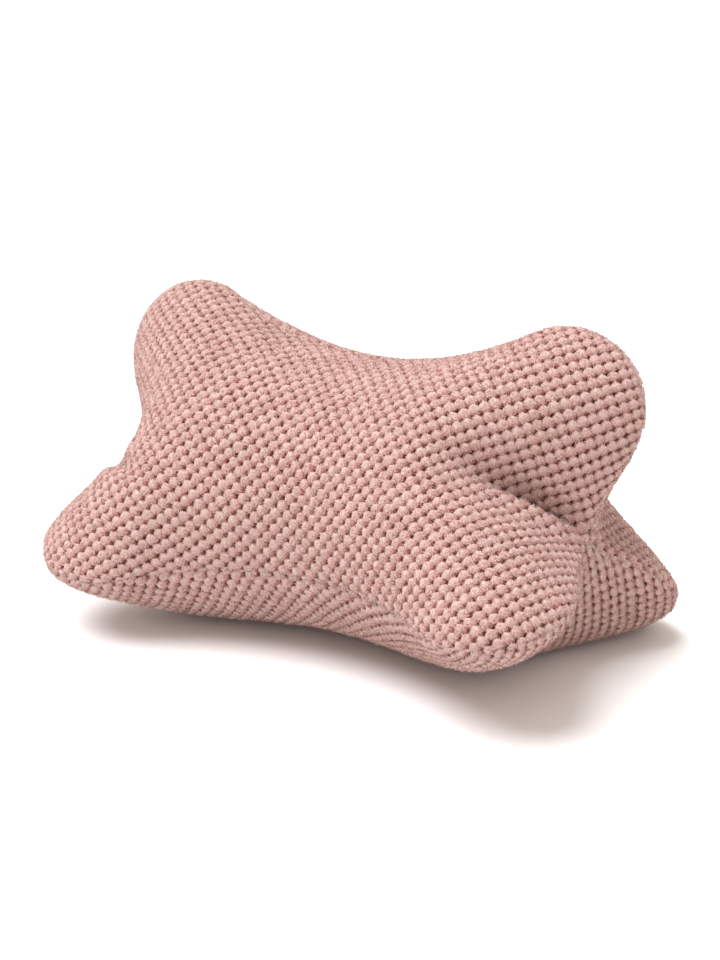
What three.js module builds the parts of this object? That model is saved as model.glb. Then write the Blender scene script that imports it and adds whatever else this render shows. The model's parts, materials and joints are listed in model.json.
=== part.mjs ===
// Bone-shaped reading pillow: three equal bone-shaped panels of knitted plush, sewn edge to
// edge along three long seams and stuffed. Millimetres, +Z up, the pillow's length along X,
// the front towards -Y. The origin is on the floor, under the middle of the pillow.
//
// The form is found the way the pillow is made. The panels are cut flat, their edges are
// joined, the stuffing presses them out against the stretch of the cloth, and the pillow is
// set down leaning a little back, so that the bottom panel goes flat where it meets the floor.

import * as THREE from 'three';

// One bone panel, cut flat, measured from its middle
const LOBE_X = 150.4;       // middle of a lobe, along the pillow
const LOBE_Y = 57.7;        // middle of a lobe, across the panel
const LOBE_R = 75.9;        // radius of a lobe
const WAIST_Y = 93.4;       // half the width of the waist
const END_X = 220.6;        // middle of the shallow hollow at each end
const CORNER = Math.PI / 4; // where on a lobe the long side gives way to the end

// The cloth
const CELLS_LONG = 48;      // cells along a panel, even
const CELLS_WIDE = 24;      // cells across it, even
const STRETCH = 0.8;        // N/mm, the pull of a stretched strip one cell wide
const SQUASH = 0.12;        // N/mm, its push when it is squashed
const BIAS = 0.3;           // what a strip along the diagonal has of both
const BEND = 0.77;          // N mm, resistance to bending

// The filling and the weight
const FILL = 0.000706;      // N/mm2, the push of the stuffing on the cloth
const WEIGHT = 5.7;         // N, spread over the cloth
const LEAN = -6.6;          // degrees, how far the pillow leans back when it is set down
const TWIST = -9.9;         // degrees, added to the lean 150 mm to the right of the middle

// The deep crease in the right end of the front panel, where the cloth is pulled in
const CREASE = { x: 148.5, y: -3.4, long: 39.1, wide: 4, pull: 9.5 };   // pull in units of FILL

// How hands push and pull single lobes as the pillow is set down, in N: out from the middle,
// along the pillow towards that end, and aside, turning around the pillow's length
const LOBES = [
  { seam: 'top', end: -1, out: -1.4, along: 0.2, aside: -1.3 },
  { seam: 'top', end: 1, out: 0.6, along: -0.9, aside: -2.5 },
  { seam: 'front bottom', end: -1, out: 1.7, along: 0.9, aside: -0.7 },
  { seam: 'front bottom', end: 1, out: 4.2, along: 0.6, aside: -2.1 },
  { seam: 'back bottom', end: -1, out: 0.1, along: -1.3, aside: 0.8 },
  { seam: 'back bottom', end: 1, out: 1.9, along: 0.5, aside: 1.4 },
];
const PUSH_SPREAD = 36.3;   // mm, how far around the lobe's tip a push is felt

// Steps of the two stages, and what slows each step down
const STUFFING_STEPS = 400;
const RESTING_STEPS = 1200;
const SLOWNESS = 3.2;       // the force in N that speeds a node up by 1 mm in each step
const DAMPING = 0.985;

// Each panel looks out from the pillow's length at its own angle, seen from the +X end,
// 0 towards the back and 90 degrees up. The seam that follows a panel is 60 degrees on.
const PANELS = [
  { name: 'front', angle: 150, seam: 'front bottom' },
  { name: 'bottom', angle: 270, seam: 'back bottom' },
  { name: 'back', angle: 30, seam: 'top' },
];

const radians = THREE.MathUtils.degToRad;

// One quarter of the bone's edge as two paths: from the waist to the tip of a lobe, and
// from there to the hollow in the end. All its arcs meet without a corner.
function quarterEdge() {
  const rise = WAIST_Y - LOBE_Y;
  const waistR = (LOBE_X ** 2 + rise ** 2 - LOBE_R ** 2) / (2 * (LOBE_R - rise));
  const waistY = WAIST_Y + waistR;
  const reach = END_X - LOBE_X;
  const hollowR = (reach ** 2 + LOBE_Y ** 2 - LOBE_R ** 2) / (2 * (LOBE_R - reach));
  const hollowX = END_X + hollowR;
  const toWaist = Math.atan2(waistY - LOBE_Y, -LOBE_X);
  const toHollow = Math.atan2(-LOBE_Y, hollowX - LOBE_X);
  const side = new THREE.CurvePath();
  side.add(new THREE.EllipseCurve(0, waistY, waistR, waistR, -Math.PI / 2, toWaist - Math.PI));
  side.add(new THREE.EllipseCurve(LOBE_X, LOBE_Y, LOBE_R, LOBE_R, toWaist, CORNER, true));
  const end = new THREE.CurvePath();
  end.add(new THREE.EllipseCurve(LOBE_X, LOBE_Y, LOBE_R, LOBE_R, CORNER, toHollow, true));
  end.add(new THREE.EllipseCurve(hollowX, 0, hollowR, hollowR, toHollow + Math.PI, Math.PI));
  return {
    side: side.getSpacedPoints(CELLS_LONG / 2),
    end: end.getSpacedPoints(CELLS_WIDE / 2),
  };
}

// The four edges of a panel: low and high run along it, left and right run across it
function panelEdges() {
  const { side, end } = quarterEdge();
  const flip = (points, x, y) => points.map((p) => new THREE.Vector2(p.x * x, p.y * y));
  const high = [...flip(side, -1, 1).reverse(), ...side.slice(1)];
  const right = [...flip(end, 1, -1), ...end.slice(0, -1).reverse()];
  return { high, low: flip(high, 1, -1), right, left: flip(right, -1, 1) };
}

// Fills four edges with a grid of points, in any number of dimensions
function fillEdges({ low, high, left, right }) {
  const grid = [];
  for (let i = 0; i <= CELLS_LONG; i += 1) {
    const u = i / CELLS_LONG;
    grid.push([]);
    for (let j = 0; j <= CELLS_WIDE; j += 1) {
      const v = j / CELLS_WIDE;
      const p = low[i].clone().multiplyScalar(1 - v).addScaledVector(high[i], v);
      p.addScaledVector(left[j], 1 - u).addScaledVector(right[j], u);
      p.addScaledVector(low[0], -(1 - u) * (1 - v)).addScaledVector(low.at(-1), -u * (1 - v));
      p.addScaledVector(high[0], -(1 - u) * v).addScaledVector(high.at(-1), -u * v);
      grid[i].push(p);
    }
  }
  return grid;
}

// A direction around the pillow's length
function around(degrees) {
  return new THREE.Vector3(0, Math.cos(radians(degrees)), Math.sin(radians(degrees)));
}

// A panel before it is stuffed: its edges lie in the two planes halfway to its neighbours,
// and its middle stands out a little
function standPanel(edges, angle) {
  const out = around(angle);
  const across = around(angle + 90);
  const lift = (points) => points.map((p) => new THREE.Vector3(p.x, 0, 0)
    .addScaledVector(out, Math.abs(p.y) / Math.sqrt(3))
    .addScaledVector(across, p.y));
  const grid = fillEdges(Object.fromEntries(
    Object.entries(edges).map(([name, points]) => [name, lift(points)]),
  ));
  grid.forEach((row, i) => row.forEach((p, j) => {
    const u = i / CELLS_LONG;
    const v = j / CELLS_WIDE;
    p.addScaledVector(out, 50 * 16 * u * (1 - u) * v * (1 - v));
  }));
  return grid;
}

// Sews the panels: a place on a shared edge belongs to the panel before it. The long edges
// are shared whole, and each end is shared in two halves that meet in its hollow.
function sew(panels) {
  const half = CELLS_WIDE / 2;
  const ids = new Map();
  const points = [];
  const shares = [];
  const owner = (k, i, j) => {
    const atEnd = i === 0 || i === CELLS_LONG;
    const before = (k + PANELS.length - 1) % PANELS.length;
    if (atEnd && j === half) return `0 ${i} ${j}`;
    if (atEnd && j < half) return `${before} ${i} ${CELLS_WIDE - j}`;
    if (j === 0) return `${before} ${i} ${CELLS_WIDE}`;
    return `${k} ${i} ${j}`;
  };
  const nodes = panels.map((grid, k) => grid.map((row, i) => row.map((p, j) => {
    const key = owner(k, i, j);
    if (!ids.has(key)) {
      ids.set(key, points.length);
      points.push(p.clone());
      shares.push(0);
    }
    shares[ids.get(key)] += 1;
    return ids.get(key);
  })));
  return { nodes, points, shares };
}

// Springs for the cloth of each panel: strips along, across and on both diagonals, and the
// threes of nodes in a row that resist bending
function weave(flat, nodes) {
  const springs = [];
  const bends = [];
  const cell = (2 * LOBE_X) / CELLS_LONG;
  for (const grid of nodes) {
    const link = (i, j, di, dj, share) => {
      const a = grid[i]?.[j];
      const b = grid[i + di]?.[j + dj];
      if (a === undefined || b === undefined) return;
      springs.push({ a, b, rest: flat[i][j].distanceTo(flat[i + di][j + dj]), share });
    };
    const stiffen = (i, j, di, dj) => {
      const a = grid[i - di]?.[j - dj];
      const c = grid[i + di]?.[j + dj];
      if (a === undefined || c === undefined) return;
      bends.push({ a, b: grid[i][j], c });
    };
    for (let i = 0; i <= CELLS_LONG; i += 1) {
      for (let j = 0; j <= CELLS_WIDE; j += 1) {
        link(i, j, 1, 0, 1);
        link(i, j, 0, 1, 1);
        link(i, j, 1, 1, BIAS);
        link(i, j, 1, -1, BIAS);
        stiffen(i, j, 1, 0);
        stiffen(i, j, 0, 1);
      }
    }
  }
  return { springs, bends, bend: BEND / cell ** 2 };
}

// The cells of every panel, each with how hard the stuffing presses on it
function pressedCells(flat, nodes) {
  const cells = [];
  nodes.forEach((grid, k) => {
    for (let i = 0; i < CELLS_LONG; i += 1) {
      for (let j = 0; j < CELLS_WIDE; j += 1) {
        const middle = new THREE.Vector2();
        [[0, 0], [1, 0], [1, 1], [0, 1]].forEach(([a, b]) => middle.add(flat[i + a][j + b]));
        middle.multiplyScalar(1 / 4);
        const fromCrease = ((middle.x - CREASE.x) / CREASE.long) ** 2
          + ((middle.y - CREASE.y) / CREASE.wide) ** 2;
        const pull = PANELS[k].name === 'front' ? CREASE.pull * Math.exp(-fromCrease) : 0;
        cells.push({
          corners: [grid[i][j], grid[i + 1][j], grid[i + 1][j + 1], grid[i][j + 1]],
          press: FILL * (1 - pull),
        });
      }
    }
  });
  return cells;
}

// The hands' pushes on the lobes, spread over the cloth around each tip. The grip of the
// floor takes up what they add up to, so the pillow stays where it stands.
function handPushes(flat, nodes, shares) {
  const pushes = shares.map(() => new THREE.Vector3());
  for (const { seam, end, out, along, aside } of LOBES) {
    const before = PANELS.findIndex((panel) => panel.seam === seam);
    const angle = PANELS[before].angle + 60 + LEAN;
    const force = around(angle).multiplyScalar(out)
      .addScaledVector(around(angle + 90), aside)
      .addScaledVector(new THREE.Vector3(end, 0, 0), along);
    for (const [k, side] of [[before, 1], [(before + 1) % PANELS.length, -1]]) {
      const tip = new THREE.Vector2(end * (LOBE_X + LOBE_R / 2), side * (LOBE_Y + LOBE_R / 2));
      const near = flat.map((row) => row.map(
        (p) => Math.exp(-p.distanceToSquared(tip) / (2 * PUSH_SPREAD ** 2)),
      ));
      const total = near.flat().reduce((sum, w) => sum + w, 0);
      near.forEach((row, i) => row.forEach((w, j) => {
        pushes[nodes[k][i][j]].addScaledVector(force, w / total / 2);
      }));
    }
  }
  const total = pushes.reduce((sum, push) => sum.add(push), new THREE.Vector3()).setZ(0);
  const places = shares.reduce((sum, n) => sum + n, 0);
  pushes.forEach((push, n) => push.addScaledVector(total, -shares[n] / places));
  return pushes;
}

// Moves the nodes step by step until the forces on them balance
function settle(points, shares, cloth, cells, steps, resting, pushes) {
  const { springs, bends, bend } = cloth;
  const speed = points.map(() => new THREE.Vector3());
  const force = points.map(() => new THREE.Vector3());
  const d = new THREE.Vector3();
  const e = new THREE.Vector3();
  const load = WEIGHT / shares.reduce((sum, n) => sum + n, 0);
  for (let step = 0; step < steps; step += 1) {
    force.forEach((f, n) => {
      if (resting) f.copy(pushes[n]).setZ(pushes[n].z - load * shares[n]);
      else f.set(0, 0, 0);
    });
    for (const { a, b, rest, share } of springs) {
      d.subVectors(points[b], points[a]);
      const length = d.length();
      const change = length - rest;
      d.multiplyScalar((share * (change > 0 ? STRETCH : SQUASH) * change) / length);
      force[a].add(d);
      force[b].sub(d);
    }
    for (const { a, b, c } of bends) {
      d.addVectors(points[a], points[c]).addScaledVector(points[b], -2).multiplyScalar(bend);
      force[b].addScaledVector(d, 2);
      force[a].sub(d);
      force[c].sub(d);
    }
    for (const { corners, press } of cells) {
      d.subVectors(points[corners[2]], points[corners[0]]);
      e.subVectors(points[corners[3]], points[corners[1]]);
      e.cross(d).multiplyScalar(press / 8);
      corners.forEach((n) => force[n].add(e));
    }
    points.forEach((p, n) => {
      speed[n].addScaledVector(force[n], 1 / (SLOWNESS * shares[n])).multiplyScalar(DAMPING);
      p.add(speed[n]);
      if (resting && p.z < 0) {
        p.z = 0;
        speed[n].set(0, 0, 0);
      }
    });
  }
}

// Turns the stuffed pillow about its length, back by LEAN, and lifts it just off the floor
function setDown(points) {
  for (const p of points) {
    p.applyAxisAngle(new THREE.Vector3(1, 0, 0), radians(LEAN + (TWIST * p.x) / 150));
  }
  const lowest = Math.min(...points.map((p) => p.z));
  points.forEach((p) => p.setZ(p.z - lowest + 1));
}

// The closed skin, two triangles to a cell. The diagonal runs through a panel's corner
// where it meets one, because the cloth's edge goes straight on there.
function skin(nodes, points) {
  const faces = [];
  for (const grid of nodes) {
    for (let i = 0; i < CELLS_LONG; i += 1) {
      for (let j = 0; j < CELLS_WIDE; j += 1) {
        const [a, b, c, d] = [grid[i][j], grid[i + 1][j], grid[i + 1][j + 1], grid[i][j + 1]];
        const sameHalves = (i < CELLS_LONG / 2) === (j < CELLS_WIDE / 2);
        if (sameHalves) faces.push(a, c, b, a, d, c);
        else faces.push(a, d, b, b, d, c);
      }
    }
  }
  const geometry = new THREE.BufferGeometry().setFromPoints(points);
  geometry.setIndex(faces);
  const box = new THREE.Box3().setFromPoints(points);
  const middle = box.getCenter(new THREE.Vector3());
  geometry.translate(-middle.x, -middle.y, -box.min.z);
  geometry.computeVertexNormals();
  return geometry;
}

function makePillow() {
  const edges = panelEdges();
  const flat = fillEdges(edges);
  const { nodes, points, shares } = sew(PANELS.map(({ angle }) => standPanel(edges, angle)));
  const cloth = weave(flat, nodes);
  const cells = pressedCells(flat, nodes);
  const pushes = handPushes(flat, nodes, shares);
  settle(points, shares, cloth, cells, STUFFING_STEPS, false, pushes);
  setDown(points);
  settle(points, shares, cloth, cells, RESTING_STEPS, true, pushes);
  return skin(nodes, points);
}

const plush = new THREE.MeshStandardMaterial({
  color: 0xd1a69b,
  roughness: 1,
  metalness: 0,
});

const model = new THREE.Group();
const pillow = new THREE.Mesh(makePillow(), plush);
pillow.name = 'pillow';
model.add(pillow);

export default model;
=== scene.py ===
import json
import math

import bmesh
import bpy
import numpy as np
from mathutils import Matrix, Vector

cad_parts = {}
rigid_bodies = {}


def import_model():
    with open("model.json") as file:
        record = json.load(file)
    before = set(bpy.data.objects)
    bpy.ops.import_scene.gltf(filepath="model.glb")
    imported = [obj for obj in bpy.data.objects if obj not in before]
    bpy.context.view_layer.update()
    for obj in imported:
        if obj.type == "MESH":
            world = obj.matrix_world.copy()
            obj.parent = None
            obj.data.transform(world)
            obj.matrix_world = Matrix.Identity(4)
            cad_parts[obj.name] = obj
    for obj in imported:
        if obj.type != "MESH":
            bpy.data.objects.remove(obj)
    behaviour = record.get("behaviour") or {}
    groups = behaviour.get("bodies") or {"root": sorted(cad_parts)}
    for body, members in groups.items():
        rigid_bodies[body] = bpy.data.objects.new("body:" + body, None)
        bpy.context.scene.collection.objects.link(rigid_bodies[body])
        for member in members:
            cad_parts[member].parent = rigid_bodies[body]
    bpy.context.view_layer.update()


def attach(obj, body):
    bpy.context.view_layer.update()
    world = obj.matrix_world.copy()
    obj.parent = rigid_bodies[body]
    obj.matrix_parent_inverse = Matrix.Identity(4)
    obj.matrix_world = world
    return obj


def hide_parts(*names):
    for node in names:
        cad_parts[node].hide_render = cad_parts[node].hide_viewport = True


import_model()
scene = bpy.context.scene

# The cover: three equal bone-shaped panels of knitted plush, sewn edge to edge and stuffed.
# Its ground is the knitted base of the cloth, which shows between the stitches; it is painted dark and
# warm there, as painted shade deep between them.
# The form is found as the pillow is made: cut flat, sewn, stuffed, and set down on the floor.
MM = 0.001
LOBE_X, LOBE_Y, LOBE_R = 150.4, 57.7, 75.9  # mm, a lobe's middle and radius, on a flat panel
WAIST_Y = 93.4  # mm, half the width of the waist
END_X = 220.6  # mm, the middle of the shallow hollow at each end
CORNER = math.pi / 4  # where on a lobe the long side gives way to the end
CELLS_LONG, CELLS_WIDE = 48, 24  # the cloth's cells along a panel and across it
STRETCH, SQUASH, BIAS = 0.8, 0.12, 0.3  # N/mm of a strip one cell wide, and the diagonals' share
BEND = 0.77  # N mm, the cloth's resistance to bending
FILL = 0.000706  # N/mm2, the push of the stuffing
WEIGHT = 5.7  # N, spread over the cloth
LEAN = -6.6  # degrees, how far the pillow leans back when it is set down
TWIST, TWIST_X = -9.9, 150  # degrees, added to the lean that many mm to the right of the middle
BOW = 50  # mm, how far a panel's middle is bowed out before it is stuffed
CLEARANCE = 1  # mm, how far above the floor the pillow is let go
# the deep crease of the front panel in mm, and its pull in units of FILL
CREASE = {"x": 148.5, "y": -3.4, "long": 39.1, "wide": 4, "pull": 9.5}
# how hands push and pull the lobes in N: seam, end, then out, along the pillow and aside
LOBES = (
    ("top", -1, -1.4, 0.2, -1.3),
    ("top", 1, 0.6, -0.9, -2.5),
    ("front bottom", -1, 1.7, 0.9, -0.7),
    ("front bottom", 1, 4.2, 0.6, -2.1),
    ("back bottom", -1, 0.1, -1.3, 0.8),
    ("back bottom", 1, 1.9, 0.5, 1.4),
)
PUSH_SPREAD = 36.3  # mm, how far around the lobe's tip a push is felt
STUFFING_STEPS, RESTING_STEPS = 400, 1200
SLOWNESS, DAMPING = 3.2, 0.985  # N for each mm a step, and what a step keeps of the speed
PANELS = ("front", "bottom", "back")
PANEL_ANGLES = (150.0, 270.0, 30.0)  # the way each panel looks, 0 to the back and 90 up
SEAMS = ("front bottom", "back bottom", "top")  # the seam that follows each panel


def spaced_arcs(arcs, count):
    """count + 1 points evenly along arcs that follow each other: (x, y, radius, from, to)."""
    lengths = [r * abs(b - a) for _, _, r, a, b in arcs]
    points = []
    for at in np.linspace(0, sum(lengths), count + 1):
        n = 0
        while n < len(arcs) - 1 and at > lengths[n]:
            at -= lengths[n]
            n += 1
        x, y, r, a, b = arcs[n]
        turn = a + (b - a) * at / lengths[n]
        points.append((x + r * math.cos(turn), y + r * math.sin(turn)))
    return np.array(points)


def panel_edges():
    """The four edges of a flat panel: low and high run along it, left and right across it."""
    rise = WAIST_Y - LOBE_Y
    waist_r = (LOBE_X**2 + rise**2 - LOBE_R**2) / (2 * (LOBE_R - rise))
    waist_y = WAIST_Y + waist_r
    reach = END_X - LOBE_X
    hollow_r = (reach**2 + LOBE_Y**2 - LOBE_R**2) / (2 * (LOBE_R - reach))
    hollow_x = END_X + hollow_r
    to_waist = math.atan2(waist_y - LOBE_Y, -LOBE_X)
    to_hollow = math.atan2(-LOBE_Y, hollow_x - LOBE_X)
    waist = (0, waist_y, waist_r, -math.pi / 2, to_waist - math.pi)
    hollow = (hollow_x, 0, hollow_r, to_hollow + math.pi, math.pi)
    side = spaced_arcs([waist, (LOBE_X, LOBE_Y, LOBE_R, to_waist, CORNER)], CELLS_LONG // 2)
    end = spaced_arcs([(LOBE_X, LOBE_Y, LOBE_R, CORNER, to_hollow), hollow], CELLS_WIDE // 2)
    high = np.concatenate([(side * [-1, 1])[::-1], side[1:]])
    right = np.concatenate([end * [1, -1], end[-2::-1]])
    return {"low": high * [1, -1], "high": high, "left": right * [-1, 1], "right": right}


def fill_edges(low, high, left, right):
    """A grid of points between four edges."""
    u = np.linspace(0, 1, len(low))[:, None, None]
    v = np.linspace(0, 1, len(left))[None, :, None]
    grid = (1 - v) * low[:, None] + v * high[:, None] + (1 - u) * left[None] + u * right[None]
    grid -= (1 - u) * ((1 - v) * low[0] + v * high[0]) + u * ((1 - v) * low[-1] + v * high[-1])
    return grid


def around(degrees):
    """A direction around the pillow's length."""
    return np.array([0, math.cos(math.radians(degrees)), math.sin(math.radians(degrees))])


def stand_panel(edges, angle):
    """A panel before it is stuffed: its edges halfway to its neighbours, its middle bowed out."""
    out, across = around(angle), around(angle + 90)
    lifted = {
        name: p[:, :1] * [1, 0, 0] + np.abs(p[:, 1:]) / math.sqrt(3) * out + p[:, 1:] * across
        for name, p in edges.items()
    }
    u = np.linspace(0, 1, CELLS_LONG + 1)[:, None, None]
    v = np.linspace(0, 1, CELLS_WIDE + 1)[None, :, None]
    return fill_edges(**lifted) + BOW * 16 * u * (1 - u) * v * (1 - v) * out


def sewn(values):
    """Adds up the values of each place on a seam, which two panels share, or three in a hollow."""
    half = values.shape[2] // 2
    for k in range(3):
        after = (k + 1) % 3
        total = values[k, :, -1] + values[after, :, 0]
        values[k, :, -1] = values[after, :, 0] = total
        for i in (0, -1):
            total = values[k, i, half + 1 : -1] + values[after, i, half - 1 : 0 : -1]
            values[k, i, half + 1 : -1] = total
            values[after, i, half - 1 : 0 : -1] = total
    for i in (0, -1):
        values[:, i, half] = values[:, i, half].sum(0)
    return values


def pair(di, dj):
    """The two ends of every strip of cloth that runs di cells along and dj cells across."""
    a = (..., slice(None, -di or None), slice(max(-dj, 0), -dj if dj > 0 else None), slice(None))
    b = (..., slice(di, None), slice(max(dj, 0), dj if dj < 0 else None), slice(None))
    return a, b


def hand_pushes(flat):
    """The hands' pushes on the lobes, spread over the cloth around each tip."""
    pushes = np.zeros((3, *flat.shape[:2], 3))
    for seam, end, out, along, aside in LOBES:
        before = SEAMS.index(seam)
        angle = PANEL_ANGLES[before] + 60 + LEAN
        force = out * around(angle) + aside * around(angle + 90) + along * np.array([end, 0, 0])
        for k, side in ((before, 1), ((before + 1) % 3, -1)):
            tip = (end * (LOBE_X + LOBE_R / 2), side * (LOBE_Y + LOBE_R / 2))
            near = np.exp(-((flat - tip) ** 2).sum(-1) / (2 * PUSH_SPREAD**2))
            pushes[k] += (near / near.sum() / 2)[..., None] * force
    pushes[..., :2] -= pushes[..., :2].mean((0, 1, 2))
    return pushes


def settle(points, flat, steps, resting):
    """Moves the places on the cloth step by step until the forces on them balance."""
    strips = []
    for di, dj, share in ((1, 0, 1), (0, 1, 1), (1, 1, BIAS), (1, -1, BIAS)):
        a, b = pair(di, dj)
        strips.append((a, b, np.linalg.norm(flat[b] - flat[a], axis=-1, keepdims=True), share))
    bend = BEND / (2 * LOBE_X / CELLS_LONG) ** 2
    middle = (flat[1:, 1:] + flat[:-1, 1:] + flat[1:, :-1] + flat[:-1, :-1]) / 4
    from_crease = ((middle - (CREASE["x"], CREASE["y"])) / (CREASE["long"], CREASE["wide"])) ** 2
    press = np.full((3, CELLS_LONG, CELLS_WIDE, 1), FILL)
    press[0, ..., 0] *= 1 - CREASE["pull"] * np.exp(-from_crease.sum(-1))
    shares = sewn(np.ones((3, *flat.shape[:2], 1)))
    steady = hand_pushes(flat) - np.array([0, 0, WEIGHT / shares.size]) if resting else 0
    speed = np.zeros_like(points)
    for _ in range(steps):
        force = np.zeros_like(points) + steady
        for a, b, rest, share in strips:
            d = points[b] - points[a]
            length = np.sqrt((d * d).sum(-1, keepdims=True))
            change = length - rest
            d *= share * np.where(change > 0, STRETCH, SQUASH) * change / length
            force[a] += d
            force[b] -= d
        for a, b, c in (
            (np.s_[:, :-2], np.s_[:, 1:-1], np.s_[:, 2:]),
            (np.s_[:, :, :-2], np.s_[:, :, 1:-1], np.s_[:, :, 2:]),
        ):
            d = (points[a] + points[c] - 2 * points[b]) * bend
            force[b] += 2 * d
            force[a] -= d
            force[c] -= d
        p, q = points[:, 1:, 1:] - points[:, :-1, :-1], points[:, :-1, 1:] - points[:, 1:, :-1]
        push = np.cross(q, p) * press / 8
        for i, j in ((0, 0), (1, 0), (1, 1), (0, 1)):
            force[:, i : i + CELLS_LONG, j : j + CELLS_WIDE] += push
        speed = (speed + sewn(force) / (SLOWNESS * shares)) * DAMPING
        points = points + speed
        if resting:
            low = points[..., 2] < 0
            points[low, 2] = 0
            speed[low] = 0
    return points


def set_down(points):
    """Turns the stuffed pillow about its length, and lifts it just off the floor."""
    turn = np.radians(LEAN + TWIST * points[..., 0] / TWIST_X)
    x, y, z = np.moveaxis(points, -1, 0)
    points = np.stack([x, y * np.cos(turn) - z * np.sin(turn), y * np.sin(turn) + z * np.cos(turn)], -1)
    return points - [0, 0, points[..., 2].min() - CLEARANCE]


edges = panel_edges()
flat = fill_edges(**edges)
form = np.stack([stand_panel(edges, angle) for angle in PANEL_ANGLES])
form = settle(form, flat, STUFFING_STEPS, resting=False)
form = settle(set_down(form), flat, RESTING_STEPS, resting=True)
low, high = form.min((0, 1, 2)), form.max((0, 1, 2))
form -= [(low[0] + high[0]) / 2, (low[1] + high[1]) / 2, low[2]]


def spline_weights(count, places):
    """Weights that read a smooth curve through count + 1 values at the given places."""
    inner = np.arange(1, count)
    tie, pull = np.zeros((2, count + 1, count + 1))
    tie[0, 0] = tie[-1, -1] = 1
    tie[inner, inner] = 4
    pull[inner, inner] = -12
    for step in (-1, 1):
        tie[inner, inner + step] = 1
        pull[inner, inner + step] = 6
    curve = np.linalg.solve(tie, pull)
    before = np.minimum(places.astype(int), count - 1)
    part = (places - before)[:, None]
    one = np.eye(count + 1)
    weights = (1 - part) * one[before] + part * one[before + 1]
    weights += ((1 - part) ** 3 - (1 - part)) / 6 * curve[before]
    return weights + (part**3 - part) / 6 * curve[before + 1]


SEAM_PLACES = np.array([0, 0.3, 0.65])  # cells from a seam, where the cloth bends most


def fine_places(count):
    """Places along a row of cells, two to a cell and three in the cells at the seams."""
    inner = np.linspace(1, count - 1, 2 * count - 3)
    return np.concatenate([SEAM_PLACES, inner, count - SEAM_PLACES[::-1]])


def cloth_normals(points):
    """The way out of the cloth at every place, the same for both panels on their seam."""
    normals = np.zeros_like(points)
    long, wide = points.shape[1] - 1, points.shape[2] - 1
    p, q = points[:, 1:, 1:] - points[:, :-1, :-1], points[:, :-1, 1:] - points[:, 1:, :-1]
    for i, j in ((0, 0), (1, 0), (1, 1), (0, 1)):
        normals[:, i : i + long, j : j + wide] += np.cross(q, p)
    normals = sewn(normals)
    return normals / np.linalg.norm(normals, axis=-1, keepdims=True)


def distance_to(line, points):
    """How far points are from a closed line, in the plane."""
    a, b = line, np.roll(line, -1, axis=0)
    way = b - a
    offset = points[..., None, :] - a
    part = np.clip((offset * way).sum(-1) / (way**2).sum(-1), 0, 1)
    return np.linalg.norm(offset - part[..., None] * way, axis=-1).min(-1)


GROUND_DEPTH = 1.9  # mm, how far the knitted base lies under the tops of the stitches
SEAM_DEPTH, SEAM_WIDTH = 1.2, 4.0  # mm, how the sewing thread pulls the edges in
# where the cloth is folded, in mm: panel, the middle's place on it, the way it runs in degrees,
# its length and width, how deep it goes, and how far the cloth beside it swells over it
FOLDS = (
    (0, 178, -5, 0, 38, 7, 13, 7),
    (0, -153, 37, 15, 26, 9, 6, 4),
    (1, 198, 58, 132, 22, 4, 3, 0),
)
FOLD_LIP = 1.6  # widths, how far beside a fold's middle the cloth swells most
FOLD_END = 10  # mm, how near a seam a fold runs out
long_weights = spline_weights(CELLS_LONG, fine_places(CELLS_LONG))
wide_weights = spline_weights(CELLS_WIDE, fine_places(CELLS_WIDE))
cut = np.einsum("ui,ijc,vj->uvc", long_weights, flat, wide_weights)
cloth = np.einsum("ui,kijc,vj->kuvc", long_weights, form, wide_weights)
outward = np.einsum("ui,kijc,vj->kuvc", long_weights, cloth_normals(form), wide_weights)
outward /= np.linalg.norm(outward, axis=-1, keepdims=True)
outline = np.concatenate([cut[:-1, 0], cut[-1, :-1], cut[:0:-1, -1], cut[0, :0:-1]])
from_edge = distance_to(outline, cut)
sunk = GROUND_DEPTH + SEAM_DEPTH * np.exp(-((from_edge / SEAM_WIDTH) ** 2))
for k, x, y, turn, long, wide, deep, swell in FOLDS:
    turn = math.radians(turn)
    along = (cut[..., 0] - x) * math.cos(turn) + (cut[..., 1] - y) * math.sin(turn)
    beside = (cut[..., 1] - y) * math.cos(turn) - (cut[..., 0] - x) * math.sin(turn)
    near = np.exp(-((along / long) ** 2)) * (1 - np.exp(-((from_edge / FOLD_END) ** 2)))
    valley, lip = (np.exp(-(((beside - at) / wide) ** 2)) for at in (0, FOLD_LIP * wide))
    cloth[k] -= outward[k] * (deep * near * valley)[..., None]
    cloth[k, ..., 2] += swell * near * lip
outward = cloth_normals(cloth)
cloth -= outward * sunk[..., None]

rows, columns = cut.shape[:2]
corner = np.arange(rows * columns).reshape(rows, columns)
cells = np.stack([corner[:-1, :-1], corner[:-1, 1:], corner[1:, 1:], corner[1:, :-1]], -1)
cells = cells.reshape(-1, 4)


def grid_mesh(name, points, faces):
    """A smooth-shaded mesh of points in metres."""
    mesh = bpy.data.meshes.new(name)
    mesh.from_pydata(points.reshape(-1, 3).tolist(), [], faces.tolist())
    mesh.shade_smooth()
    return mesh


def add_piece(name, mesh):
    """An object that shows the mesh where it lies."""
    made = bpy.data.objects.new(name, mesh)
    scene.collection.objects.link(made)
    return made


def linear(colour):
    """An sRGB hex colour as the linear values that a shader takes."""
    parts = [int(colour[n : n + 2], 16) / 255 for n in (1, 3, 5)]
    return (*[p / 12.92 if p <= 0.04045 else ((p + 0.055) / 1.055) ** 2.4 for p in parts], 1)


def add_node(tree, kind, inputs=(), **settings):
    """Adds a node. Its inputs, by name or number, are values, sockets, or nodes, whose first
    output is then linked."""
    made = tree.nodes.new(kind)
    for name, value in settings.items():
        setattr(made, name, value)
    for key, value in dict(inputs).items():
        if isinstance(value, bpy.types.Node):
            value = value.outputs[0]
        if isinstance(value, bpy.types.NodeSocket):
            tree.links.new(value, made.inputs[key])
        else:
            made.inputs[key].default_value = value
    return made


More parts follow.
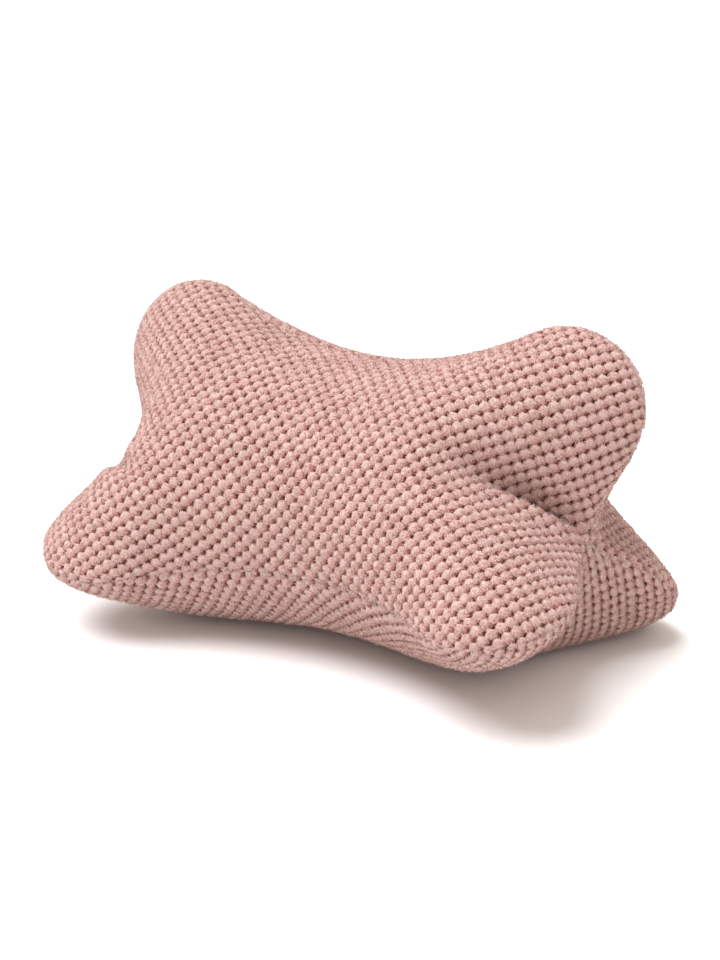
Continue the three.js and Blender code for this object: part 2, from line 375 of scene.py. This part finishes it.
# mm, the width and height of the clumps that the pile lies in
PILE, PILE_HEIGHT = 1.2, 0.9
PATCH = 45.0  # mm, the size of patches where the pile lies a little lighter or darker
# the dark colours near the base are painted shade deep between the stitches
PILE_AND_SHADE_COLOURS = ("#4c1c12", "#9e6256", "#c49f97", "#d5beb8")  # from the base to the tips
PILE_AND_SHADE_LEVELS = (0.0, 0.34, 0.6, 1.0)  # where these colours come between base and tips
# what makes up a place's level: the pile; its rise on a stitch, which paints shade low on a stitch; and
# how crushed it is, which paints it paler near a seam, partly as crushed and brushed pile and partly as
# a painted sheen
LEVEL_START, PILE_SHARE, RISE_SHADE_SHARE, CRUSHED_AND_SHEEN_SHARE = -0.64, 1.15, 0.75, 0.12
PATCH_SHARE = 0.6  # how much a patch counts beside the tone of a stitch or a tuft
TONES, BRIGHTNESS = (-0.6, 1.8), (0.8, 1.22)  # from the darkest to the lightest


def plush_material():
    """Polyester chenille, knitted and brushed: quite matt, with a pale bloom where the pile is
    seen edge on. Its colour is painted darker deep between the stitches than at their tips, as
    painted shade, and painted paler where a seam has crushed the yarn and brushed its pile up,
    partly as a painted sheen of pile seen edge on."""
    material = bpy.data.materials.new("knitted polyester chenille")
    material.use_nodes = True
    tree = material.node_tree
    tree.nodes.clear()
    place = add_node(tree, "ShaderNodeTexCoord").outputs["Object"]
    pile = add_node(
        tree, "ShaderNodeTexNoise", {"Vector": place, "Scale": 1 / (PILE * MM), "Detail": 3.0}
    )
    patches = add_node(
        tree, "ShaderNodeTexNoise", {"Vector": place, "Scale": 1 / (PATCH * MM), "Detail": 1.0}
    )
    rise, tone, crushed = (
        add_node(tree, "ShaderNodeAttribute", attribute_name=name).outputs["Fac"]
        for name in ("rise", "tone", "crushed")
    )
    # a stitch's rise makes its colour darker low down: painted shade deep between the stitches
    level = LEVEL_START
    for part, share in ((pile, PILE_SHARE), (rise, RISE_SHADE_SHARE), (crushed, CRUSHED_AND_SHEEN_SHARE)):
        level = add_node(
            tree, "ShaderNodeMath", {0: part, 1: share, 2: level}, operation="MULTIPLY_ADD"
        )
    ramp = add_node(tree, "ShaderNodeValToRGB", {"Fac": level})
    stops = ramp.color_ramp.elements
    for position in PILE_AND_SHADE_LEVELS[1:-1]:
        stops.new(position)
    for stop, position, colour in zip(stops, PILE_AND_SHADE_LEVELS, PILE_AND_SHADE_COLOURS):
        stop.position, stop.color = position, linear(colour)
    worn = add_node(
        tree, "ShaderNodeMath", {0: patches, 1: PATCH_SHARE, 2: tone}, operation="MULTIPLY_ADD"
    )
    light = add_node(
        tree,
        "ShaderNodeMapRange",
        {"Value": worn, 1: TONES[0], 2: TONES[1], 3: BRIGHTNESS[0], 4: BRIGHTNESS[1]},
    )
    colour = add_node(tree, "ShaderNodeVectorMath", {0: ramp, "Scale": light}, operation="SCALE")
    bump = add_node(
        tree, "ShaderNodeBump", {"Height": pile, "Strength": 1.0, "Distance": PILE_HEIGHT * MM}
    )
    shader = add_node(
        tree,
        "ShaderNodeBsdfPrincipled",
        {
            "Base Color": colour,
            "Normal": bump,
            "Roughness": 1.0,
            "IOR": 1.5,
            "Specular IOR Level": 0.15,
            "Sheen Weight": 0.9,
            "Sheen Roughness": 0.3,
            "Sheen Tint": linear("#ffebe6"),
        },
    )
    add_node(tree, "ShaderNodeOutputMaterial", {"Surface": shader})
    return material


plush = plush_material()
faces = np.concatenate([cells + k * rows * columns for k in range(3)])
mesh = grid_mesh("cover", cloth * MM, faces)
welded = bmesh.new()
welded.from_mesh(mesh)
bmesh.ops.remove_doubles(welded, verts=welded.verts, dist=0.001 * MM)
welded.to_mesh(mesh)
welded.free()
# the cover has no rise on it, so it takes the darkest colours of the ramp: painted shade deep between
# the stitches
mesh.materials.append(plush)
cover = add_piece("cover", mesh)
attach(cover, "root")
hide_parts("pillow")

# The stitches: puffs of fat chenille yarn that stand out of the knitted base of each panel.
# Every second row is half a stitch on, so that a puff merges with its four neighbours, and it
# falls off towards its right end, where a dark slit is left before the next puff of the row.
STITCH, ROW = 10.4, 5.2  # mm, from puff to puff in a row, and from row to row
PUFF_LONG, PUFF_WIDE, PUFF_HIGH = 9.6, 7.9, 2.5  # mm
SQUARENESS = 6.0  # 2 for a round puff, more for a squarer one
FULLNESS = (4.0, 8.0)  # along and across a row: 2 for a round back, more for a flatter one
SLANT = (0.34, 0.17)  # how much lower than its middle a puff is at its right end and high side
SHEAR = -0.12  # how far the high side is pushed along the row, in half lengths
PLACE_SPREAD = 0.03  # stitches, how far a puff may be from its place
SIZE_SPREAD = (0.03, 0.05, 0.06)  # how much longer, wider and higher it may be, or less
TURN_SPREAD = 0.1  # radians, how far it may be turned
PUFF_TONES = (0.06, 0.18)  # from a darker puff to a lighter one
UNEVENNESS = 0.6  # mm, how lumpy the yarn is
LUMP = 0.4  # lumps to the width of a row
# in this band the colour is also painted paler, partly as a painted sheen of pile seen edge on
SEAM_BAND = 5.0  # mm, how far from a seam the yarn is crushed and its pile brushed up
CRUSH = 0.5  # how much lower a puff is where it is crushed
FOOT_DEPTH = 0.3  # mm, how deep the foot of a puff lies in the knitted base
OVERHANG = 3.0  # mm, how far past a panel's edge the middle of a puff may lie
SEED = 7
LOWEST_PLACE = (-10, -10, 0)  # m, the least X, Y and Z of any yarn, so that the floor holds it up


def stitch_tree():
    """Covers a cut panel with stitches where it lies flat, then lays each on the worn cloth."""
    tree = bpy.data.node_groups.new("stitches", "GeometryNodeTree")
    for name, kind in (
        ("Panel", "Geometry"),
        ("Stitch", "Float"),
        ("Row", "Float"),
        ("Puff Size", "Vector"),
        ("Squareness", "Float"),
        ("Fullness Along", "Float"),
        ("Fullness Across", "Float"),
        ("Slant", "Vector"),
        ("Shear", "Float"),
        ("Unevenness", "Float"),
        ("Seam Band", "Float"),
        ("Foot Depth", "Float"),
        ("Rows", "Int"),
        ("Stitches", "Int"),
        ("Overhang", "Float"),
        ("Seed", "Int"),
        ("Material", "Material"),
    ):
        tree.interface.new_socket(name, in_out="INPUT", socket_type="NodeSocket" + kind)
    tree.interface.new_socket("Stitches", in_out="OUTPUT", socket_type="NodeSocketGeometry")
    given = add_node(tree, "NodeGroupInput").outputs
    position = add_node(tree, "GeometryNodeInputPosition")

    # a stitch for every place of a brick pattern that lies on the panel
    long = add_node(
        tree, "ShaderNodeMath", {0: given["Stitch"], 1: given["Stitches"]}, operation="MULTIPLY"
    )
    wide = add_node(tree, "ShaderNodeMath", {0: given["Row"], 1: given["Rows"]}, operation="MULTIPLY")
    across = add_node(tree, "ShaderNodeMath", {0: given["Stitches"], 1: 1.0}, operation="ADD")
    down = add_node(tree, "ShaderNodeMath", {0: given["Rows"], 1: 1.0}, operation="ADD")
    grid = add_node(
        tree,
        "GeometryNodeMeshGrid",
        {"Size X": long, "Size Y": wide, "Vertices X": across, "Vertices Y": down},
    )
    at = add_node(tree, "ShaderNodeSeparateXYZ", {0: position}).outputs
    row = add_node(tree, "ShaderNodeMath", {0: at["Y"], 1: given["Row"]}, operation="DIVIDE")
    row = add_node(tree, "ShaderNodeMath", {0: row}, operation="ROUND")
    odd = add_node(tree, "ShaderNodeMath", {0: row, 1: 2.0}, operation="FLOORED_MODULO")
    half = add_node(tree, "ShaderNodeMath", {0: given["Stitch"], 1: 0.5}, operation="MULTIPLY")
    shift = add_node(tree, "ShaderNodeMath", {0: odd, 1: half}, operation="MULTIPLY")
    shift = add_node(tree, "ShaderNodeCombineXYZ", {"X": shift})
    uneven = add_node(
        tree,
        "FunctionNodeRandomValue",
        {
            0: (-PLACE_SPREAD, -PLACE_SPREAD, 0),
            1: (PLACE_SPREAD, PLACE_SPREAD, 0),
            "Seed": given["Seed"],
        },
        data_type="FLOAT_VECTOR",
    )
    shift = add_node(
        tree,
        "ShaderNodeVectorMath",
        {0: uneven, 1: given["Stitch"], 2: shift},
        operation="MULTIPLY_ADD",
    )
    bricks = add_node(tree, "GeometryNodeSetPosition", {"Geometry": grid, "Offset": shift})
    from_edge = add_node(
        tree, "GeometryNodeInputNamedAttribute", {"Name": "from_edge"}, data_type="FLOAT"
    )
    inside = add_node(
        tree,
        "GeometryNodeSampleNearestSurface",
        {"Mesh": given["Panel"], "Value": from_edge, "Sample Position": position},
        data_type="FLOAT",
    )
    away = add_node(
        tree,
        "GeometryNodeProximity",
        {0: given["Panel"], "Sample Position": position},
        target_element="FACES",
    ).outputs["Distance"]
    outside = add_node(tree, "ShaderNodeMath", {0: away, 1: inside}, operation="SUBTRACT")
    off_panel = add_node(
        tree, "ShaderNodeMath", {0: outside, 1: given["Overhang"]}, operation="GREATER_THAN"
    )
    kept = add_node(
        tree, "GeometryNodeDeleteGeometry", {"Geometry": bricks, "Selection": off_panel}
    )

    # one puff: the upper half of a ball, closed underneath and squared off
    ball = add_node(tree, "GeometryNodeMeshUVSphere", {"Segments": 12, "Rings": 8, "Radius": 1.0})
    under = add_node(tree, "ShaderNodeMath", {0: at["Z"], 1: -0.01}, operation="LESS_THAN")
    dome = add_node(tree, "GeometryNodeDeleteGeometry", {"Geometry": ball, "Selection": under})
    foot = add_node(tree, "GeometryNodeMeshCircle", {"Vertices": 12, "Radius": 1.0}, fill_type="NGON")
    foot = add_node(tree, "GeometryNodeFlipFaces", {0: foot})
    both = add_node(tree, "GeometryNodeJoinGeometry", {0: dome})
    tree.links.new(foot.outputs[0], both.inputs[0])
    puff = add_node(tree, "GeometryNodeMergeByDistance", {0: both, "Distance": 0.001})
    puff = add_node(tree, "GeometryNodeTransform", {0: puff, "Rotation": (0, 0, math.pi / 12)})
    flat = add_node(
        tree, "ShaderNodeVectorMath", {0: position, 1: (1, 1, 0)}, operation="MULTIPLY"
    )
    round_out = add_node(tree, "ShaderNodeVectorMath", {0: flat}, operation="LENGTH").outputs["Value"]
    from_middle = [
        add_node(tree, "ShaderNodeMath", {0: at[axis]}, operation="ABSOLUTE") for axis in "XY"
    ]
    x_part, y_part = (
        add_node(tree, "ShaderNodeMath", {0: way, 1: given["Squareness"]}, operation="POWER")
        for way in from_middle
    )
    both_parts = add_node(tree, "ShaderNodeMath", {0: x_part, 1: y_part}, operation="ADD")
    root = add_node(tree, "ShaderNodeMath", {0: 1.0, 1: given["Squareness"]}, operation="DIVIDE")
    square_out = add_node(tree, "ShaderNodeMath", {0: both_parts, 1: root}, operation="POWER")
    square_out = add_node(tree, "ShaderNodeMath", {0: square_out, 1: 0.001}, operation="MAXIMUM")
    wider = add_node(tree, "ShaderNodeMath", {0: round_out, 1: square_out}, operation="DIVIDE")
    flat = add_node(tree, "ShaderNodeVectorMath", {0: flat, "Scale": wider}, operation="SCALE")
    puff = add_node(tree, "GeometryNodeSetPosition", {"Geometry": puff, "Position": flat})
    full = 1.0
    for way, fullness in zip(from_middle, ("Fullness Along", "Fullness Across")):
        lost = add_node(tree, "ShaderNodeMath", {0: way, 1: given[fullness]}, operation="POWER")
        full = add_node(tree, "ShaderNodeMath", {0: full, 1: lost}, operation="SUBTRACT")
    full = add_node(tree, "ShaderNodeMath", {0: full, 1: 0.0}, operation="MAXIMUM")
    full = add_node(tree, "ShaderNodeMath", {0: full}, operation="SQRT")
    slant = add_node(
        tree, "ShaderNodeVectorMath", {0: given["Slant"], 1: position}, operation="DOT_PRODUCT"
    ).outputs["Value"]
    slant = add_node(tree, "ShaderNodeMath", {0: 1.0, 1: slant}, operation="SUBTRACT")
    full = add_node(tree, "ShaderNodeMath", {0: full, 1: slant}, operation="MULTIPLY")
    aside = add_node(tree, "ShaderNodeMath", {0: given["Shear"], 1: at["Y"]}, operation="MULTIPLY")
    full = add_node(tree, "ShaderNodeCombineXYZ", {"X": aside, "Z": full})
    puff = add_node(tree, "GeometryNodeSetPosition", {"Geometry": puff, "Offset": full})

    # a puff at each place, no two quite the same
    sized = add_node(
        tree,
        "FunctionNodeRandomValue",
        {
            0: [1 - spread for spread in SIZE_SPREAD],
            1: [1 + spread for spread in SIZE_SPREAD],
            "Seed": given["Seed"],
        },
        data_type="FLOAT_VECTOR",
    )
    sized = add_node(
        tree, "ShaderNodeVectorMath", {0: sized, 1: given["Puff Size"]}, operation="MULTIPLY"
    )
    turned = add_node(
        tree,
        "FunctionNodeRandomValue",
        {0: (0, 0, -TURN_SPREAD), 1: (0, 0, TURN_SPREAD), "Seed": given["Seed"]},
        data_type="FLOAT_VECTOR",
    )
    puffs = add_node(
        tree,
        "GeometryNodeInstanceOnPoints",
        {"Points": kept, "Instance": puff, "Rotation": turned, "Scale": sized},
    )
    tone = add_node(
        tree,
        "FunctionNodeRandomValue",
        {2: PUFF_TONES[0], 3: PUFF_TONES[1], "Seed": given["Seed"]},
        data_type="FLOAT",
    ).outputs[1]
    puffs = add_node(
        tree,
        "GeometryNodeStoreNamedAttribute",
        {"Geometry": puffs, "Name": "tone", "Value": tone},
        data_type="FLOAT",
        domain="INSTANCE",
    )
    puffs = add_node(tree, "GeometryNodeRealizeInstances", {0: puffs})

    # how high each place stands, and how near a seam it is
    high = add_node(tree, "ShaderNodeSeparateXYZ", {0: given["Puff Size"]}).outputs["Z"]
    rise = add_node(tree, "ShaderNodeMath", {0: at["Z"], 1: high}, operation="DIVIDE")
    puffs = add_node(
        tree,
        "GeometryNodeStoreNamedAttribute",
        {"Geometry": puffs, "Name": "rise", "Value": rise},
        data_type="FLOAT",
        domain="POINT",
    )
    below = add_node(tree, "ShaderNodeCombineXYZ", {"X": at["X"], "Y": at["Y"]})
    to_seam = add_node(
        tree,
        "GeometryNodeSampleNearestSurface",
        {"Mesh": given["Panel"], "Value": from_edge, "Sample Position": below},
        data_type="FLOAT",
    )
    crushed = add_node(
        tree,
        "ShaderNodeMapRange",
        {"Value": to_seam, 1: 0.0, 2: given["Seam Band"], 3: 1.0, 4: 0.0},
        interpolation_type="SMOOTHSTEP",
    )
    puffs = add_node(
        tree,
        "GeometryNodeStoreNamedAttribute",
        {"Geometry": puffs, "Name": "crushed", "Value": crushed},
        data_type="FLOAT",
        domain="POINT",
    )

    # laid on the worn cloth, lower where a seam crushes the yarn
    worn, outward_way = (
        add_node(
            tree,
            "GeometryNodeSampleNearestSurface",
            {
                "Mesh": given["Panel"],
                "Value": add_node(
                    tree, "GeometryNodeInputNamedAttribute", {"Name": name}, data_type="FLOAT_VECTOR"
                ),
                "Sample Position": below,
            },
            data_type="FLOAT_VECTOR",
        )
        for name in ("worn", "outward")
    )
    lump_scale = add_node(tree, "ShaderNodeMath", {0: LUMP, 1: given["Row"]}, operation="DIVIDE")
    lumps = add_node(tree, "ShaderNodeTexNoise", {"Vector": position, "Scale": lump_scale})
    lumps = add_node(tree, "ShaderNodeMath", {0: lumps, 1: 0.5}, operation="SUBTRACT")
    lumps = add_node(tree, "ShaderNodeMath", {0: lumps, 1: rise}, operation="MULTIPLY")
    lumps = add_node(tree, "ShaderNodeMath", {0: lumps, 1: given["Unevenness"]}, operation="MULTIPLY")
    flatter = add_node(
        tree, "ShaderNodeMath", {0: crushed, 1: -CRUSH, 2: 1.0}, operation="MULTIPLY_ADD"
    )
    lift = add_node(
        tree, "ShaderNodeMath", {0: at["Z"], 1: flatter, 2: lumps}, operation="MULTIPLY_ADD"
    )
    lift = add_node(
        tree, "ShaderNodeMath", {0: lift, 1: given["Foot Depth"]}, operation="SUBTRACT"
    )
    lifted = add_node(
        tree, "ShaderNodeVectorMath", {0: outward_way, "Scale": lift}, operation="SCALE"
    )
    laid = add_node(tree, "ShaderNodeVectorMath", {0: worn, 1: lifted}, operation="ADD")
    laid = add_node(
        tree, "ShaderNodeVectorMath", {0: laid, 1: LOWEST_PLACE}, operation="MAXIMUM"
    )
    puffs = add_node(tree, "GeometryNodeSetPosition", {"Geometry": puffs, "Position": laid})
    puffs = add_node(tree, "GeometryNodeFlipFaces", {"Mesh": puffs})
    puffs = add_node(tree, "GeometryNodeSetShadeSmooth", {"Geometry": puffs})
    puffs = add_node(
        tree, "GeometryNodeSetMaterial", {"Geometry": puffs, "Material": given["Material"]}
    )
    add_node(tree, "NodeGroupOutput", {0: puffs})
    return tree


def grown(piece, tree, chosen):
    """Turns a piece into what a tree makes of it with the chosen inputs, as a plain mesh."""
    modifier = piece.modifiers.new(tree.name, "NODES")
    modifier.node_group = tree
    for item in tree.interface.items_tree:
        if item.in_out == "INPUT" and item.name in chosen:
            modifier[item.identifier] = chosen[item.name]
    seen = piece.evaluated_get(bpy.context.evaluated_depsgraph_get())
    mesh = bpy.data.meshes.new_from_object(seen)
    piece.modifiers.remove(modifier)
    mesh.materials.clear()
    mesh.materials.append(chosen["Material"])
    mesh.polygons.foreach_set("material_index", [0] * len(mesh.polygons))
    piece.data = mesh


stitches = stitch_tree()
panel_size = np.abs(cut).max((0, 1)) * 2
for k, name in enumerate(PANELS):
    flat_points = np.concatenate([cut, np.zeros((rows, columns, 1))], -1)
    mesh = grid_mesh(name + "_panel", flat_points * MM, cells)
    for key, kind, values in (
        ("worn", "FLOAT_VECTOR", cloth[k] * MM),
        ("outward", "FLOAT_VECTOR", outward[k]),
        ("from_edge", "FLOAT", from_edge * MM),
    ):
        slot = mesh.attributes.new(key, kind, "POINT")
        slot.data.foreach_set("vector" if kind == "FLOAT_VECTOR" else "value", values.ravel())
    piece = add_piece(name + "_stitches", mesh)
    chosen = {
        "Stitch": STITCH * MM,
        "Row": ROW * MM,
        "Puff Size": (PUFF_LONG / 2 * MM, PUFF_WIDE / 2 * MM, PUFF_HIGH * MM),
        "Squareness": SQUARENESS,
        "Fullness Along": FULLNESS[0],
        "Fullness Across": FULLNESS[1],
        "Slant": (*SLANT, 0.0),
        "Shear": SHEAR,
        "Unevenness": 2 * UNEVENNESS * MM,
        "Seam Band": SEAM_BAND * MM,
        "Foot Depth": FOOT_DEPTH * MM,
        "Stitches": 2 * math.ceil(panel_size[0] / STITCH / 2) + 2,
        "Rows": 2 * math.ceil(panel_size[1] / ROW / 2) + 2,
        "Overhang": OVERHANG * MM,
        "Seed": SEED + 10 * k,
        "Material": plush,
    }
    grown(piece, stitches, chosen)
    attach(piece, "root")

# The pile: fine short fibres brushed out of the chenille yarn all over the stitches, longest
# along the seams. They are drawn as flat tufts, coarser than the real fibres, which are too
# fine to show.
TUFT_LONG, TUFT_WIDE = 2.3, 0.55  # mm
TUFTS = 1.08  # for each square millimetre of yarn
TUFT_LIFT = (0.15, 0.8)  # radians, how far a tuft stands off the yarn
TUFT_START = 0.15  # how high on a stitch the lowest tufts grow, in heights of a stitch
TUFT_SPREAD = (0.6, 1.2)  # how small and how large a tuft may be
TUFT_BRUSHED = 0.1  # how much larger it is where the yarn is crushed
TUFT_TONES = (-0.8, 1.4)  # from the darkest tuft to the lightest


def pile_tree():
    """Scatters tufts over the stitches, each brushed its own way."""
    tree = bpy.data.node_groups.new("pile", "GeometryNodeTree")
    for name, kind in (
        ("Stitches", "Geometry"),
        ("Tuft Size", "Vector"),
        ("Density", "Float"),
        ("Least Lift", "Float"),
        ("Most Lift", "Float"),
        ("Seed", "Int"),
        ("Material", "Material"),
    ):
        tree.interface.new_socket(name, in_out="INPUT", socket_type="NodeSocket" + kind)
    tree.interface.new_socket("Pile", in_out="OUTPUT", socket_type="NodeSocketGeometry")
    given = add_node(tree, "NodeGroupInput").outputs
    position = add_node(tree, "GeometryNodeInputPosition")
    rise, crushed = (
        add_node(tree, "GeometryNodeInputNamedAttribute", {"Name": name}, data_type="FLOAT")
        for name in ("rise", "crushed")
    )
    open_yarn = add_node(
        tree, "ShaderNodeMath", {0: rise, 1: TUFT_START}, operation="GREATER_THAN"
    )
    roots = add_node(
        tree,
        "GeometryNodeDistributePointsOnFaces",
        {
            "Mesh": given["Stitches"],
            "Selection": open_yarn,
            "Density": given["Density"],
            "Seed": given["Seed"],
        },
        distribute_method="RANDOM",
    ).outputs

    # one tuft: a flat blade that grows from the origin along X, one long and one wide,
    # made of a triangle that is 1.5 long and the root of 3 wide
    blade = add_node(
        tree, "GeometryNodeMeshCircle", {"Vertices": 3, "Radius": 1.0}, fill_type="NGON"
    )
    rooted = add_node(
        tree,
        "ShaderNodeVectorMath",
        {0: position, 1: (1 / 1.5, 1 / 3**0.5, 0), 2: (1 / 3, 0, 0)},
        operation="MULTIPLY_ADD",
    )
    blade = add_node(tree, "GeometryNodeSetPosition", {"Geometry": blade, "Position": rooted})

    # a tuft on each root, brushed its own way, larger where the yarn is crushed at a seam
    lift = add_node(
        tree,
        "FunctionNodeRandomValue",
        {2: given["Least Lift"], 3: given["Most Lift"], "Seed": 1},
        data_type="FLOAT",
    ).outputs[1]
    down = add_node(tree, "ShaderNodeMath", {0: lift, 1: -1.0}, operation="MULTIPLY")
    spin = add_node(
        tree, "FunctionNodeRandomValue", {2: 0.0, 3: 2 * math.pi, "Seed": 2}, data_type="FLOAT"
    ).outputs[1]
    brushed = add_node(tree, "ShaderNodeCombineXYZ", {"Y": down, "Z": spin})
    brushed = add_node(tree, "FunctionNodeEulerToRotation", {0: brushed})
    facing = add_node(
        tree,
        "FunctionNodeRotateRotation",
        {0: roots["Rotation"], 1: brushed},
        rotation_space="LOCAL",
    )
    size = add_node(
        tree,
        "FunctionNodeRandomValue",
        {2: TUFT_SPREAD[0], 3: TUFT_SPREAD[1], "Seed": 3},
        data_type="FLOAT",
    ).outputs[1]
    larger = add_node(
        tree, "ShaderNodeMath", {0: crushed, 1: TUFT_BRUSHED, 2: 1.0}, operation="MULTIPLY_ADD"
    )
    size = add_node(tree, "ShaderNodeMath", {0: size, 1: larger}, operation="MULTIPLY")
    scale = add_node(
        tree, "ShaderNodeVectorMath", {0: given["Tuft Size"], "Scale": size}, operation="SCALE"
    )
    tufts = add_node(
        tree,
        "GeometryNodeInstanceOnPoints",
        {"Points": roots["Points"], "Instance": blade, "Rotation": facing, "Scale": scale},
    )
    tone = add_node(
        tree,
        "FunctionNodeRandomValue",
        {2: TUFT_TONES[0], 3: TUFT_TONES[1], "Seed": 4},
        data_type="FLOAT",
    ).outputs[1]
    tufts = add_node(
        tree,
        "GeometryNodeStoreNamedAttribute",
        {"Geometry": tufts, "Name": "tone", "Value": tone},
        data_type="FLOAT",
        domain="INSTANCE",
    )
    tufts = add_node(tree, "GeometryNodeRealizeInstances", {0: tufts})
    above = add_node(
        tree, "ShaderNodeVectorMath", {0: position, 1: LOWEST_PLACE}, operation="MAXIMUM"
    )
    tufts = add_node(tree, "GeometryNodeSetPosition", {"Geometry": tufts, "Position": above})
    tufts = add_node(
        tree, "GeometryNodeSetMaterial", {"Geometry": tufts, "Material": given["Material"]}
    )
    add_node(tree, "NodeGroupOutput", {0: tufts})
    return tree


pile = pile_tree()
for k, name in enumerate(PANELS):
    piece = add_piece(name + "_pile", bpy.data.objects[name + "_stitches"].data.copy())
    chosen = {
        "Tuft Size": (TUFT_LONG * MM, TUFT_WIDE * MM, 1.0),
        "Density": TUFTS / MM**2,
        "Least Lift": TUFT_LIFT[0],
        "Most Lift": TUFT_LIFT[1],
        "Seed": SEED + k,
        "Material": plush,
    }
    grown(piece, pile, chosen)
    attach(piece, "root")

# The floor and the light: a sweep of white matt paper in a bright, even room, under one broad
# and soft light from above and, as the camera sees it, a little from the left.
FLOOR_REACH = 6  # m
floor_material = bpy.data.materials.new("white paper sweep")
floor_material.use_nodes = True
paper = floor_material.node_tree.nodes["Principled BSDF"]
paper.inputs["Base Color"].default_value = linear("#f4f4f4")
paper.inputs["Roughness"].default_value = 1.0
paper.inputs["Specular IOR Level"].default_value = 0.0
floor_mesh = grid_mesh(
    "floor",
    FLOOR_REACH * np.array([(-1, -1, 0), (1, -1, 0), (1, 1, 0), (-1, 1, 0)], float),
    np.array([(0, 1, 2, 3)]),
)
floor_mesh.materials.append(floor_material)
floor = add_piece("floor", floor_mesh)

world = bpy.data.worlds.new("white studio")
world.use_nodes = True
room = world.node_tree.nodes["Background"]
room.inputs["Color"].default_value = linear("#fff7ee")
room.inputs["Strength"].default_value = 0.85
scene.world = world
scene.view_settings.view_transform = "Standard"

lamp = bpy.data.lights.new("window light", "SUN")
lamp.energy = 4.2
lamp.color = (0.98, 1.0, 1.05)
lamp.angle = math.radians(50)
window = bpy.data.objects.new("window light", lamp)
window.rotation_euler = Vector((-0.36, -0.21, 1.0)).to_track_quat("Z", "Y").to_euler()
scene.collection.objects.link(window)

# The camera stands where the photograph was taken from, and looks at the middle of the pillow.
AZIMUTH, ELEVATION = math.radians(32.63), math.radians(22.17)
DISTANCE, TARGET = 1.793, Vector((0, 0, 0.105))  # m
PIXELS_PER_M, PHOTO_HEIGHT = 1419.2, 960  # at the target, in the photograph of 720 by 960
SHIFT = (-10.6, 10.3)  # pixels, right and down
back = Vector(
    (
        math.sin(AZIMUTH) * math.cos(ELEVATION),
        -math.cos(AZIMUTH) * math.cos(ELEVATION),
        math.sin(ELEVATION),
    )
)
lens = bpy.data.cameras.new("camera")
lens.sensor_width = 36
lens.lens = PIXELS_PER_M * DISTANCE * lens.sensor_width / PHOTO_HEIGHT
lens.shift_x, lens.shift_y = -SHIFT[0] / PHOTO_HEIGHT, SHIFT[1] / PHOTO_HEIGHT
camera = bpy.data.objects.new("camera", lens)
camera.location = TARGET + back * DISTANCE
camera.rotation_euler = back.to_track_quat("Z", "Y").to_euler()
scene.collection.objects.link(camera)
scene.camera = camera
